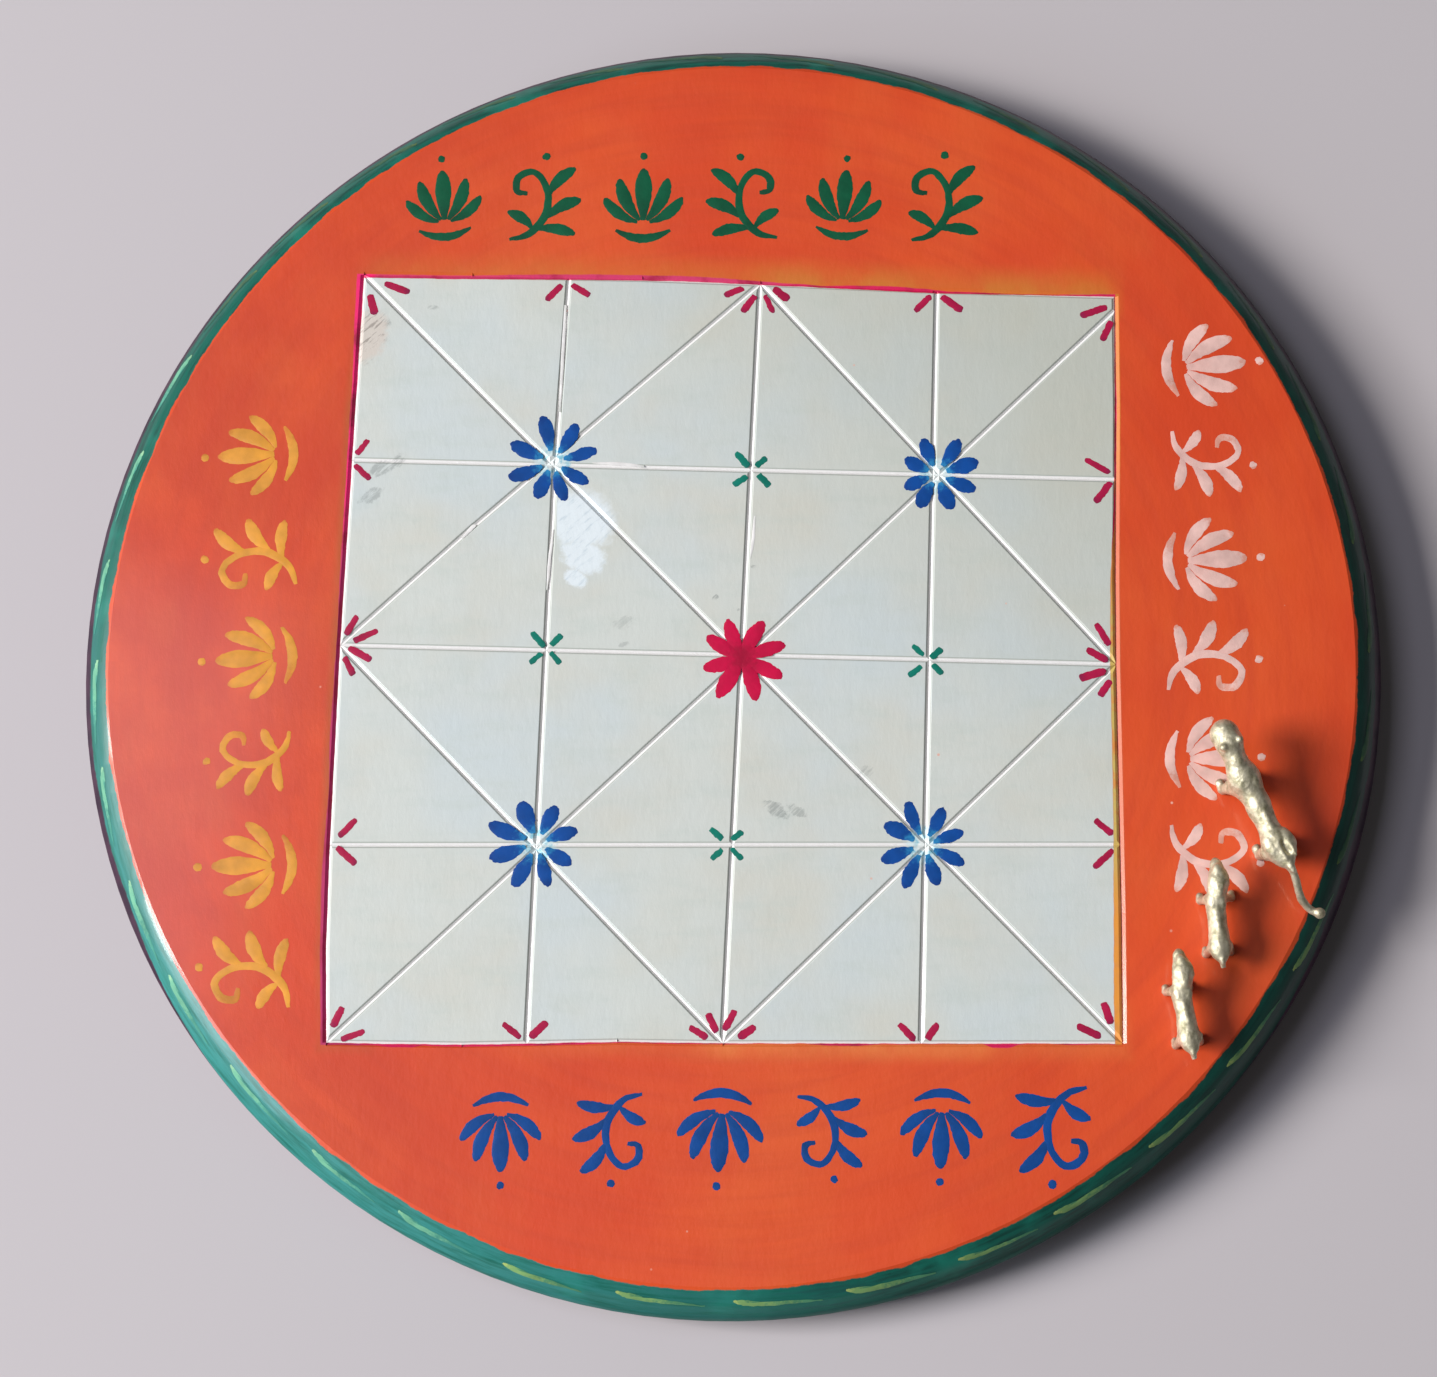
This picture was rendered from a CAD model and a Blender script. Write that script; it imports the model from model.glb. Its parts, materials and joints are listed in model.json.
# %% [markdown]
# # A painted bagh chal board
#
# Bagh chal is a board game of tigers and goats. This board is one round slab of
# wood: the playing lines are cut into it as grooves, and everything else is
# gloss paint put on by hand with a few soft brushes. Three small brass animals
# stand on it. The CAD gives the slab, its grooves and the animals their true
# size and place, and this lesson gives them paint, brush marks and cast metal.

# %% Load the fixed frame
import json
import math
import random

import bpy
from mathutils import Matrix, Vector, noise

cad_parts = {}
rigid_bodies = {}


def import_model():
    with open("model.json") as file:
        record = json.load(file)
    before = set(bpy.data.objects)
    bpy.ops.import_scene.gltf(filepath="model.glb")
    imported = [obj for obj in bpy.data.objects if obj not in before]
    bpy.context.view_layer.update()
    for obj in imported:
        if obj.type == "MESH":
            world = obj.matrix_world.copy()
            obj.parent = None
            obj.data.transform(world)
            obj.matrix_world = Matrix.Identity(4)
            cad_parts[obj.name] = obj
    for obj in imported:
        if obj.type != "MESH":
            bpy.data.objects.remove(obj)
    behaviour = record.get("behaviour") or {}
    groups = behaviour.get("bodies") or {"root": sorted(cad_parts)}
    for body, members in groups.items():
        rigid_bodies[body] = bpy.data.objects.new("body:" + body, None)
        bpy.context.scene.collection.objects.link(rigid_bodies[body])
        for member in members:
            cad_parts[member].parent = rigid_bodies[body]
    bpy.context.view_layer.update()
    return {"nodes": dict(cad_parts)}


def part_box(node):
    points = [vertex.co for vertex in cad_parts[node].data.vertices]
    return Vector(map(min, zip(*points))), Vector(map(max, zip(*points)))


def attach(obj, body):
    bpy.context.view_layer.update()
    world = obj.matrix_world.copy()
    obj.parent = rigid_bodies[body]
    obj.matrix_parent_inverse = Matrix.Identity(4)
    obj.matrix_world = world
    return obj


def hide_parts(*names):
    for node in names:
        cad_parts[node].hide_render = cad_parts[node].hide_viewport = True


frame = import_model()
MM = 0.001
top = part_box("board")[1].z
rim_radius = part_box("board")[1].x
print("board:", round(rim_radius / MM, 1), "mm radius, top at", round(top / MM, 1), "mm")

# %% [markdown]
# ## The camera
#
# The picture was taken by hand from above the near edge of the board. The lens
# is long, so the circle stays nearly round, and the camera leans back by twelve
# degrees. The three turns are made about the camera's own axes, one after the
# other, starting from a camera that looks straight down.

# %% Camera over the near edge
camera_data = bpy.data.cameras.new("camera")
camera_data.sensor_fit = "HORIZONTAL"
camera_data.sensor_width = 36.0
camera_data.lens = 90.74
camera_data.clip_start = 0.01
camera_place = Vector((28.55, -180.21, 829.90)) * MM
camera = bpy.data.objects.new("camera", camera_data)
bpy.context.collection.objects.link(camera)
pan, lean, roll = (math.radians(angle) for angle in (2.171, 12.022, -0.042))
turn = Matrix.Rotation(pan, 4, "Y") @ Matrix.Rotation(lean, 4, "X") @ Matrix.Rotation(roll, 4, "Z")
camera.matrix_world = Matrix.Translation(camera_place) @ turn
bpy.context.scene.camera = camera
print("camera at", [round(v, 3) for v in camera.matrix_world.translation])

# %% [markdown]
# ## Nodes and colours
#
# A material is a small network of nodes. One helper adds a node, gives it its
# settings and joins its inputs, so the network reads from top to bottom. The
# other helper turns the hex colours that painters and web pages use into the
# linear numbers that a renderer works in.

# %% Two helpers
def add(tree, kind, inputs=None, **settings):
    """Adds a node with its settings and links, and returns its first live output."""
    node = tree.nodes.new(kind)
    for name, value in settings.items():
        setattr(node, name, value)
    for slot, value in (inputs or {}).items():
        if isinstance(value, bpy.types.NodeSocket):
            tree.links.new(value, node.inputs[slot])
        else:
            node.inputs[slot].default_value = value
    return next(output for output in node.outputs if output.enabled)


def linear(hex_code):
    """The linear colour of an sRGB hex code."""
    parts = [int(hex_code[i:i + 2], 16) / 255 for i in (1, 3, 5)]
    return (*[p / 12.92 if p <= 0.04045 else ((p + 0.055) / 1.055) ** 2.4 for p in parts], 1.0)


def new_material(name):
    """An empty material, with the tree and the output that its shader goes to."""
    material = bpy.data.materials.new(name)
    material.use_nodes = True
    material.node_tree.nodes.clear()
    output = material.node_tree.nodes.new("ShaderNodeOutputMaterial")
    return material, material.node_tree, output.inputs["Surface"]


print("gloss orange is", [round(v, 3) for v in linear("#DD5530")])

# %% [markdown]
# ## Floor and light
#
# The board lies on a pale floor. Low light comes from the left, as from a
# window: it fills the left side of each animal, rakes across the grooves so
# that one wall of each shines and the other stays grey, and lays the shadows to
# the right. A tall pane nearer the player shines back from the rounded edge,
# and a soft light high on the left gives the varnish there a milky bloom.

# %% Floor
def plain_floor():
    """A wide matt plane a hair below the board."""
    bpy.ops.object.select_all(action="DESELECT")
    bpy.ops.mesh.primitive_plane_add(size=4.0, location=(0, 0, -0.05 * MM))
    floor = bpy.context.object
    floor.name = "floor"
    material, tree, surface = new_material("pale_matt_floor")
    tree.links.new(add(tree, "ShaderNodeBsdfPrincipled", {
        "Base Color": linear("#C9C3C6"), "Roughness": 0.75}), surface)
    floor.data.materials.append(material)
    return floor


floor = plain_floor()
print("floor", tuple(round(v, 2) for v in floor.dimensions))

# %% Lights
def soft_light(name, place, size, watts, colour):
    """A square light that looks at the middle of the board."""
    data = bpy.data.lights.new(name, "AREA")
    data.shape = "SQUARE"
    data.size = size
    data.energy = watts
    data.color = linear(colour)[:3]
    light = bpy.data.objects.new(name, data)
    bpy.context.collection.objects.link(light)
    light.location = place
    light.rotation_euler = (-Vector(place)).to_track_quat("-Z", "Y").to_euler()
    return light


bpy.context.scene.view_settings.view_transform = "Standard"
window = soft_light("window", (-3.16, -0.20, 2.40), 1.45, 188, "#FFFCF9")
tall_pane = soft_light("tall_pane", (-1.72, -0.80, 0.85), 0.8, 10, "#E0F0FF")
bloom = soft_light("bloom", (-0.96, 0.20, 2.15), 0.9, 9, "#E8EAFF")
world = bpy.data.worlds.new("room")
bpy.context.scene.world = world
world.use_nodes = True
world.node_tree.nodes["Background"].inputs["Color"].default_value = linear("#E2E2E0")
world.node_tree.nodes["Background"].inputs["Strength"].default_value = 0.07
print("lights:", window.name, tall_pane.name, bloom.name)

# %% [markdown]
# ## The paint on the board
#
# The real board is painted in coats: green over the edge, maroon round its
# lower half, orange over the top, and an off-white square for the game, with a
# magenta line where the square ends. Each coat ends where the painter's hand
# left it, so no border is a true circle or a ruled line. The material works the
# same way. It reads each spot's place in millimetres, and every coat covers the
# one below wherever its own mask says so.

# %% Start of the paint material
paint, tree, paint_surface = new_material("gloss_enamel_on_turned_wood")
spot = add(tree, "ShaderNodeVectorMath", {
    0: tree.nodes.new("ShaderNodeTexCoord").outputs["Object"], "Scale": 1 / MM}, operation="SCALE")
across = add(tree, "ShaderNodeSeparateXYZ", {0: spot})
along = across.node.outputs["Y"]
height = across.node.outputs["Z"]
flat_spot = add(tree, "ShaderNodeVectorMath", {0: spot, 1: (1, 1, 0)}, operation="MULTIPLY")
radius = add(tree, "ShaderNodeVectorMath", {0: flat_spot}, operation="LENGTH")
bearing = add(tree, "ShaderNodeMath", {0: along, 1: across}, operation="ARCTAN2")


def mottle(size, depth=3.0, spread=0.5, stretch=(1, 1, 1)):
    """Noise between 0 and 1 whose blots are about that many millimetres across."""
    grid = add(tree, "ShaderNodeVectorMath", {0: spot, 1: stretch}, operation="MULTIPLY")
    return add(tree, "ShaderNodeTexNoise", {
        "Vector": grid, "Scale": 1 / size, "Detail": depth, "Roughness": spread})


def swing(source, reach):
    """Turns noise into an offset of up to that many millimetres each way."""
    return add(tree, "ShaderNodeMath", {0: source, 1: 2 * reach, 2: -reach}, operation="MULTIPLY_ADD")


def step_over(value, edge, soft=0.12):
    """0 below the edge and 1 above it, over a soft painted border."""
    return add(tree, "ShaderNodeMapRange", {
        "Value": value, "From Min": edge - soft, "From Max": edge + soft}, interpolation_type="SMOOTHSTEP")


def inward(first, second):
    """How far the first distance reaches past the second."""
    return add(tree, "ShaderNodeMath", {0: first, 1: second}, operation="SUBTRACT")


def coat(below, colour, mask):
    """Lays a coat over the one below where its mask is 1."""
    return add(tree, "ShaderNodeMix", {
        0: mask, 6: below, 7: linear(colour) if isinstance(colour, str) else colour}, data_type="RGBA")


board_top = round(top / MM, 2)
hand_wobble = mottle(9.0, 2.0)
fine_wobble = mottle(1.4, 4.0, 0.65)
wander = add(tree, "ShaderNodeMath", {
    0: swing(hand_wobble, 0.9), 1: swing(fine_wobble, 0.35)}, operation="ADD")
print("nodes so far:", len(tree.nodes))

# %% [markdown]
# ### Green edge and maroon foot
#
# The edge bulges like a bullnose. Its green goes from the arris down, a little
# uneven where the brush ran dry, paler at the near left and darker at the right.
# A band of near-black maroon covers the foot of the edge all the way round. It
# comes high up the far side and stays low at the near side. Long strokes follow
# the turning of the edge, so their noise is stretched along the bearing.

# %% Edge coats
round_the_edge = add(tree, "ShaderNodeCombineXYZ", {
    0: add(tree, "ShaderNodeMath", {0: bearing, 1: 8.0}, operation="MULTIPLY"),
    1: add(tree, "ShaderNodeMath", {0: radius, 1: 0.7}, operation="MULTIPLY"),
    2: add(tree, "ShaderNodeMath", {0: height, 1: 0.35}, operation="MULTIPLY")})
edge_strokes = add(tree, "ShaderNodeTexNoise", {
    "Vector": round_the_edge, "Scale": 1.6, "Detail": 5.0, "Roughness": 0.6})
green = coat(coat(linear("#0A6253"), "#06463C", step_over(edge_strokes, 0.54, 0.12)),
             "#167A68", step_over(mottle(14.0), 0.62, 0.12))
towards_far_right = add(tree, "ShaderNodeMath", {0: across, 1: along}, operation="ADD")
green = coat(green, "#348C86", add(tree, "ShaderNodeMath", {
    0: add(tree, "ShaderNodeMapRange", {"Value": towards_far_right, "From Min": -100.0, "From Max": -205.0}),
    1: step_over(edge_strokes, 0.44, 0.2)}, operation="MULTIPLY"))
green = coat(green, "#05302A", add(tree, "ShaderNodeMapRange", {
    "Value": across, "From Min": 60.0, "From Max": 140.0, "To Max": 0.75}))
nearness = add(tree, "ShaderNodeMapRange", {"Value": along, "From Min": -60.0, "From Max": -125.0})
foot_height_far, foot_height_near = 16.2, 8.4
foot_height = add(tree, "ShaderNodeMath", {
    0: nearness, 1: foot_height_near - foot_height_far, 2: foot_height_far}, operation="MULTIPLY_ADD")
foot_mask = step_over(add(tree, "ShaderNodeMath", {
    0: inward(foot_height, height), 1: wander}, operation="ADD"), 0.0, 0.3)
maroon = coat(linear("#43253A"), "#2E1A2E", step_over(mottle(6.0), 0.5, 0.15))
colour = coat(green, maroon, foot_mask)
print("edge coats laid")

# %% [markdown]
# ### Orange top
#
# The orange is a thin, strong coat. It runs from red-orange to yellow-orange in
# broad strokes that follow the circle, with a few dark drags where the brush
# lifted and deeper red clouds towards the left. Its border with the green
# wanders by up to a millimetre.

# %% Orange coat
orange_radius = rim_radius / MM - 6.45
orange_border = add(tree, "ShaderNodeMath", {0: radius, 1: wander}, operation="ADD")
orange_mask = add(tree, "ShaderNodeMath", {
    0: step_over(height, board_top - 3.0, 0.2),
    1: step_over(inward(orange_radius, orange_border), 0.0, 0.15)}, operation="MULTIPLY")
sweep = add(tree, "ShaderNodeCombineXYZ", {
    0: add(tree, "ShaderNodeMath", {0: bearing, 1: 2.2}, operation="MULTIPLY"),
    1: add(tree, "ShaderNodeMath", {0: radius, 1: 0.16}, operation="MULTIPLY")})
sweep_strokes = add(tree, "ShaderNodeTexNoise", {
    "Vector": sweep, "Scale": 1.3, "Detail": 6.0, "Roughness": 0.62})
orange = coat(linear("#E24A21"), "#EA5927", step_over(mottle(38.0, 4.0), 0.52, 0.2))
orange = coat(orange, "#D04524", add(tree, "ShaderNodeMath", {
    0: step_over(sweep_strokes, 0.56, 0.2), 1: 0.5}, operation="MULTIPLY"))
reddened = add(tree, "ShaderNodeMapRange", {
    "Value": across, "From Min": -20.0, "From Max": -110.0, "To Max": 0.55})
orange = coat(orange, "#C63A1E", add(tree, "ShaderNodeMath", {
    0: step_over(mottle(34.0, 5.0, 0.6), 0.48, 0.14), 1: reddened}, operation="MULTIPLY"))
orange = coat(orange, "#EA7A38", add(tree, "ShaderNodeMath", {
    0: step_over(mottle(24.0, 5.0, 0.6, (1, 0.6, 1)), 0.6, 0.14), 1: 0.14}, operation="MULTIPLY"))
colour = coat(colour, orange, orange_mask)
print("orange laid")

# %% [markdown]
# ### The off-white field
#
# The square was marked out by eye, so each of its four sides bends a little. A
# Float Curve holds each side as a graph: for the place along the side it gives
# how far out the white reaches. A spot is in the field when it is inside all
# four, and the smallest of the four distances says how near it is to a border.

# %% Field sides
graph_end = 100.0


def side_graph(source, points, low, span):
    """A value in millimetres read from a graph of hand-measured points along a side."""
    scaled = add(tree, "ShaderNodeMapRange", {"Value": source, "From Min": -graph_end, "From Max": graph_end})
    value = add(tree, "ShaderNodeFloatCurve", {"Value": scaled})
    curve = value.node.mapping.curves[0]
    ends = [(-graph_end, points[0][1])] + points + [(graph_end, points[-1][1])]
    places = [((place + graph_end) / (2 * graph_end), (amount - low) / span) for place, amount in ends]
    curve.points[0].location = places[0]
    curve.points[1].location = places[-1]
    for place in places[1:-1]:
        curve.points.new(*place)
    for point in curve.points:
        point.handle_type = "VECTOR"
    value.node.mapping.update()
    return add(tree, "ShaderNodeMath", {0: value, 1: span, 2: low}, operation="MULTIPLY_ADD")


north_side = side_graph(across, [
    (-86, 92.1), (-60, 91.2), (-38, 90.9), (-10, 90.2), (10, 88.9), (20, 88.3), (48, 86.4), (70, 85.7),
    (90, 85.1)], 80, 20)
south_side = side_graph(across, [
    (-90, -88.3), (-60, -88.9), (-25, -88.4), (0, -88.9), (88, -89.4)], -95, 20)
west_side = side_graph(along, [
    (-88, -90.6), (-67, -91.1), (-45, -90.8), (3, -89.4), (55, -87.2), (92, -85.6)], -100, 20)
east_side = side_graph(along, [
    (-81, 86.3), (-62, 86.7), (-43, 87.15), (0, 87.3), (17, 87.8), (36, 89.0), (57, 89.7),
    (85, 90.3)], 80, 20)
east_groove = side_graph(along, [
    (-89, 88.2), (-60, 88.6), (-3, 88.7), (17, 89.0), (58, 90.1), (85, 90.4)], 80, 20)


side_wobble = swing(mottle(5.0, 3.0, 0.6), 0.22)
from_north = inward(north_side, along)
from_south = inward(along, south_side)
from_west = inward(across, west_side)
from_east = inward(east_side, across)
inside = add(tree, "ShaderNodeMath", {
    0: add(tree, "ShaderNodeMath", {0: from_north, 1: from_south}, operation="MINIMUM"),
    1: add(tree, "ShaderNodeMath", {0: from_west, 1: from_east}, operation="MINIMUM")}, operation="MINIMUM")
inside = add(tree, "ShaderNodeMath", {0: inside, 1: side_wobble}, operation="ADD")
print("four sides drawn")

# %% [markdown]
# ### Golden glow and the gold strip
#
# A golden-orange brush went along the outside of the square, pressed more here
# and less there, so its strength is one more graph along each side. The glow is
# widest on the far side and a narrow brown rim on the left. On the right a strip
# of dull gold shows between the white and the groove instead, with a dark red
# line along the groove's bottom.

# %% Glow round the square
outside = add(tree, "ShaderNodeMath", {0: inside, 1: -1.0}, operation="MULTIPLY")
top_only = step_over(height, board_top - 1.4, 0.1)
border_zone = 80.0
fitful = add(tree, "ShaderNodeMapRange", {
    "Value": mottle(13.0, 4.0, 0.6), "From Min": 0.36, "From Max": 0.56, "To Min": 0.55})
glows = (
    (across, [(-88, 0.0), (-80, 0.45), (-30, 0.6), (0, 0.5), (12, 0.95), (88, 0.95), (93, 0.0)],
     along, 8.5, "#D97C30"),
    (across, [(-60, 0.0), (-30, 0.25), (-6, 0.35), (0, 0.7), (55, 0.7), (62, 0.3), (90, 0.3)],
     inward(0.0, along), 5.5, "#F08A45"),
    (along, [(-85, 0.4), (-60, 0.9), (70, 0.95), (85, 0.1)], inward(0.0, across), 3.4, "#BC5C28"))
for place, strengths, beyond, reach, tint in glows:
    fade = add(tree, "ShaderNodeMapRange", {
        "Value": outside, "From Min": reach, "From Max": 0.6}, interpolation_type="SMOOTHSTEP")
    strength = add(tree, "ShaderNodeMath", {
        0: side_graph(place, strengths, 0, 1), 1: fitful}, operation="MULTIPLY")
    side_glow = add(tree, "ShaderNodeMath", {0: fade, 1: strength}, operation="MULTIPLY")
    here = add(tree, "ShaderNodeMath", {
        0: step_over(beyond, border_zone, 2.0), 1: top_only}, operation="MULTIPLY")
    colour = coat(colour, tint, add(tree, "ShaderNodeMath", {0: side_glow, 1: here}, operation="MULTIPLY"))
print("glow on", len(glows), "sides")

# %% Gold strip on the right
past_groove = add(tree, "ShaderNodeMath", {
    0: inward(across, east_groove), 1: swing(fine_wobble, 0.15)}, operation="ADD")
right_of_white = add(tree, "ShaderNodeMath", {
    0: step_over(across, border_zone, 0.5), 1: step_over(outside, 0.0, 0.1)}, operation="MULTIPLY")
between_ends = add(tree, "ShaderNodeMath", {
    0: step_over(from_north, -0.5, 0.3), 1: step_over(from_south, -0.2, 0.3)}, operation="MULTIPLY")
beside_east = add(tree, "ShaderNodeMath", {0: right_of_white, 1: between_ends}, operation="MULTIPLY")
far_wall = coat(linear("#DA6840"), "#E08034", step_over(along, 42.0, 6.0))
colour = coat(colour, far_wall, add(tree, "ShaderNodeMath", {
    0: beside_east, 1: step_over(inward(0.95, past_groove), 0.0, 0.15)}, operation="MULTIPLY"))
colour = coat(colour, "#A8402C", add(tree, "ShaderNodeMath", {
    0: beside_east, 1: step_over(inward(0.08, past_groove), 0.0, 0.1)}, operation="MULTIPLY"))
gold = coat(linear("#F3A040"), "#D9BC68", step_over(along, -52.0, 10.0))
gold = coat(gold, "#D98A42", step_over(along, 12.0, 10.0))
gold = coat(gold, "#E9984A", step_over(mottle(5.0, 4.0, 0.6), 0.56, 0.1))
colour = coat(colour, gold, add(tree, "ShaderNodeMath", {
    0: beside_east, 1: step_over(inward(-0.25, past_groove), 0.0, 0.12)}, operation="MULTIPLY"))
print("nodes so far:", len(tree.nodes))

# %% [markdown]
# ### The white of the field
#
# The white is built up from a greenish, a warm and a blue-grey white, in
# patches, and turns duller and warmer towards the far right. It stays brightest
# down in the grooves, where it pooled and nothing wears it, while grime greys
# their lips.

# %% White coats
lip_depth, bed_depth = 0.04, 0.17
field = coat(linear("#DADFD9"), "#D9D9CE", step_over(mottle(22.0, 3.0), 0.55, 0.2))
field = coat(field, "#D4DEDF", step_over(mottle(30.0, 3.0, 0.5, (1, 1, 4)), 0.56, 0.2))
field = coat(field, "#CBD5CE", add(tree, "ShaderNodeMath", {
    0: step_over(mottle(5.0, 5.0, 0.65, (0.35, 1, 1)), 0.58, 0.14), 1: 0.4}, operation="MULTIPLY"))
field = coat(field, "#C2C4B6", add(tree, "ShaderNodeMapRange", {
    "Value": towards_far_right, "From Min": 30.0, "From Max": 150.0, "To Max": 0.7}))
field = coat(field, "#B6BCB4", step_over(inward(board_top - lip_depth, height), 0.03, 0.03))
field = coat(field, "#F3F1EF", step_over(inward(board_top - bed_depth, height), 0.03, 0.04))
field_mask = add(tree, "ShaderNodeMath", {0: step_over(inside, 0.0, 0.1), 1: top_only}, operation="MULTIPLY")
colour = coat(colour, field, field_mask)
print("field painted")

# %% [markdown]
# ### Magenta line
#
# A thin magenta line closes the white, thick where the brush was full and
# almost gone on the right. Its width is a graph along each side. The four
# widths together grow the square a little, and what lies in the grown square
# but outside the white is line.

# %% Magenta line
north_line = side_graph(across, [
    (-86, 0.9), (-60, 1.0), (-50, 1.2), (-30, 1.3), (-12, 1.2), (2, 1.0), (12, 0.7), (22, 0.5), (30, 0.9),
    (38, 1.2), (47, 1.0), (52, 0.6), (62, 0.45), (66, 0.15), (74, 0.2), (90, 0.5)], 0, 2)
south_line = side_graph(across, [
    (-90, 0.5), (-79, 0.4), (-76, 0.8), (-71, 0.8), (-69, 0.35), (-60, 0.5), (-33, 0.5), (-28, 0.25),
    (0, 0.25), (4, 0.15), (17, 0.05), (22, 0.5), (29, 0.6), (33, 0.2), (57, 0.1), (59, 1.0), (63, 1.0),
    (65, 0.2), (72, 0.05), (76, 0.3), (84, 0.2)], 0, 2)
west_line = side_graph(along, [
    (-88, 1.3), (-68, 1.3), (-50, 1.6), (-30, 0.8), (-18, 1.3), (-5, 1.0), (5, 0.8), (20, 1.1), (72, 1.2),
    (80, 1.5), (92, 1.6)], 0, 2)
east_line = side_graph(along, [
    (24, 0.0), (30, 0.4), (36, 0.35), (40, 0.0), (43, 0.45), (60, 0.5), (66, 0.2), (85, 0.15)], 0, 2)


def between(width, distance):
    """1 as far out past a side as the line is wide there, and all over the inside."""
    gone_past = inward(width, add(tree, "ShaderNodeMath", {0: distance, 1: -1.0}, operation="MULTIPLY"))
    return step_over(gone_past, 0.0, 0.12)


line_mask = add(tree, "ShaderNodeMath", {
    0: step_over(outside, 0.02, 0.08), 1: top_only}, operation="MULTIPLY")
for width, distance in ((north_line, from_north), (south_line, from_south),
                        (west_line, from_west), (east_line, from_east)):
    here = between(width, add(tree, "ShaderNodeMath", {0: distance, 1: side_wobble}, operation="ADD"))
    line_mask = add(tree, "ShaderNodeMath", {0: line_mask, 1: here}, operation="MULTIPLY")
magenta = coat(linear("#E01C5C"), "#DC3E70", add(tree, "ShaderNodeMath", {
    0: step_over(along, 80.0, 1.0), 1: step_over(inward(14.0, across), 0.0, 6.0)}, operation="MULTIPLY"))
magenta = coat(magenta, coat(linear("#FF2478"), "#C42A68", step_over(inward(30.0, along), 0.0, 12.0)),
               step_over(inward(-83.0, across), 0.0, 0.5))
magenta = coat(magenta, "#B01C48", step_over(mottle(9.0, 4.0, 0.6), 0.56, 0.1))
colour = coat(colour, magenta, line_mask)
print("nodes so far:", len(tree.nodes))

# %% [markdown]
# ### Wear and smudges
#
# The white shows its age: a worn, streaky patch in the far left corner, a thick
# brushful of fresh white below the first blue flower, and faint grey smudges
# where fingers touched it. Each is a ragged blot, and one noise, stretched along
# a slant, breaks them all into streaks.

# %% Blots on the white
def blot(centre, reach, ragged=1.0, slant=0.0, squash=1.0):
    """A soft-edged, ragged spot round a centre, longer one way than the other."""
    moved = add(tree, "ShaderNodeMapping", {
        "Vector": flat_spot, "Location": (-centre[0], -centre[1], 0)}, vector_type="POINT")
    turned = add(tree, "ShaderNodeVectorRotate", {"Vector": moved, "Angle": -math.radians(slant)},
                 rotation_type="Z_AXIS")
    shaped = add(tree, "ShaderNodeVectorMath", {0: turned, 1: (1, 1 / squash, 0)}, operation="MULTIPLY")
    away = add(tree, "ShaderNodeVectorMath", {0: shaped}, operation="LENGTH")
    rough = add(tree, "ShaderNodeMath", {
        0: away, 1: swing(mottle(1.6, 5.0, 0.7), ragged * reach)}, operation="ADD")
    return add(tree, "ShaderNodeMapRange", {
        "Value": rough, "From Min": reach, "From Max": 0.6 * reach}, interpolation_type="SMOOTHSTEP")


smears = add(tree, "ShaderNodeTexNoise", {
    "Vector": add(tree, "ShaderNodeVectorMath", {
        0: add(tree, "ShaderNodeVectorRotate", {"Vector": flat_spot, "Angle": math.radians(-42)},
               rotation_type="Z_AXIS"),
        1: (0.3, 1.5, 1)}, operation="MULTIPLY"),
    "Scale": 0.7, "Detail": 5.0, "Roughness": 0.65})
# Each smudge: centre, reach, slant in degrees, squash, strength
smudges = (
    ((-80.0, 80.5), 1.8, 30, 0.6, 0.5), ((-79.5, 46.0), 5.0, 32, 0.4, 0.45),
    ((-69.0, 84.5), 1.4, 0, 0.6, 0.35), ((-83.0, 39.0), 3.4, 32, 0.5, 0.4),
    ((11.0, -36.0), 1.8, 60, 2.0, 0.5), ((15.5, -36.0), 1.3, 60, 2.0, 0.4),
    ((31.0, -27.5), 2.4, 20, 0.7, 0.3), ((-3.0, 13.7), 1.0, 40, 0.6, 0.55),
    ((6.0, 21.0), 0.9, 0, 0.6, 0.35), ((-24.0, 3.0), 1.5, 20, 0.5, 0.3),
    ((-24.0, 8.0), 3.0, 20, 0.6, 0.2), ((2.1, 11.0), 0.5, 80, 2.5, 0.35))
for centre, reach, slant, squash, strength in smudges:
    mark = add(tree, "ShaderNodeMath", {
        0: blot(centre, reach, 0.9, slant, squash), 1: strength}, operation="MULTIPLY")
    mark = add(tree, "ShaderNodeMath", {0: mark, 1: step_over(smears, 0.48, 0.1)}, operation="MULTIPLY")
    colour = coat(colour, "#747C7A", mark)
print(len(smudges), "smudges")

# %% Worn patch and fresh white
worn = blot((-84.2, 77.6), 5.2, 0.35, -14, 1.5)
bare = coat(linear("#DDD0C4"), "#9C8B80", step_over(smears, 0.57, 0.05))
worn_on_white = add(tree, "ShaderNodeMath", {0: worn, 1: field_mask}, operation="MULTIPLY")
colour = coat(colour, bare, add(tree, "ShaderNodeMath", {0: worn_on_white, 1: 0.75}, operation="MULTIPLY"))

groove_beside_fresh = -39.6
fresh = add(tree, "ShaderNodeMath", {
    0: blot((-34.0, 32.5), 8.6, 0.25, 65, 1.1),
    1: blot((-33.4, 24.0), 5.0, 0.35, 60, 1.3)}, operation="MAXIMUM")
fresh = add(tree, "ShaderNodeMath", {
    0: fresh, 1: blot((-35.0, 18.6), 2.4, 0.5, 60, 1.5)}, operation="MAXIMUM")
fresh = add(tree, "ShaderNodeMath", {
    0: fresh, 1: step_over(across, groove_beside_fresh, 0.2)}, operation="MULTIPLY")
fresh_white = coat(linear("#F0FAFF"), "#D8E6EE", step_over(smears, 0.6, 0.1))
colour = coat(colour, fresh_white, add(tree, "ShaderNodeMath", {0: fresh, 1: 0.9}, operation="MULTIPLY"))
print("wear laid")

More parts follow.
